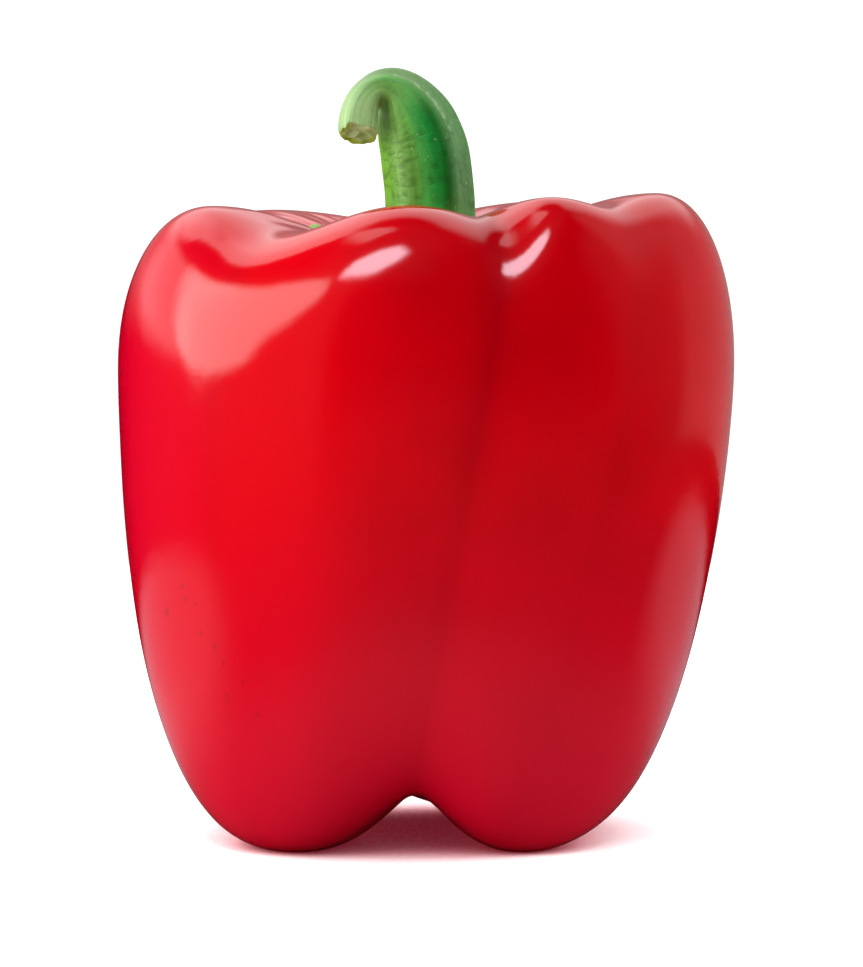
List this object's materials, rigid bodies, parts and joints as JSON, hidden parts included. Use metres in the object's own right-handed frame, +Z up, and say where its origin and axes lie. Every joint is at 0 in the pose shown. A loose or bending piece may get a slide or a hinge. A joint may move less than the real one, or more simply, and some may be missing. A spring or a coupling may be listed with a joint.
{
  "type": "bell pepper",
  "caption": "Blocky red bell pepper that stands on its lobed feet, with a hooked green stem and a calyx lying in the cavity at its crown.",
  "frame": {"origin": "centre of the bounding box's base, on the surface that the pepper stands on", "axes": "+Z up along the height of the fruit and its stem, -Y towards the viewer of the picture, +X to the viewer's right"},
  "size_m": [0.0835, 0.0794, 0.1039],
  "materials": {
    "pepper_skin": "smooth waxy skin, deep red and glossy",
    "stem_green": "fleshy green, ribbed along the stalk and finely wrinkled across it, satin"
  },
  "bodies": {
    "root": {"fruit": "pepper_skin", "stem_with_calyx": "stem_green"}
  },
  "joints": []
}
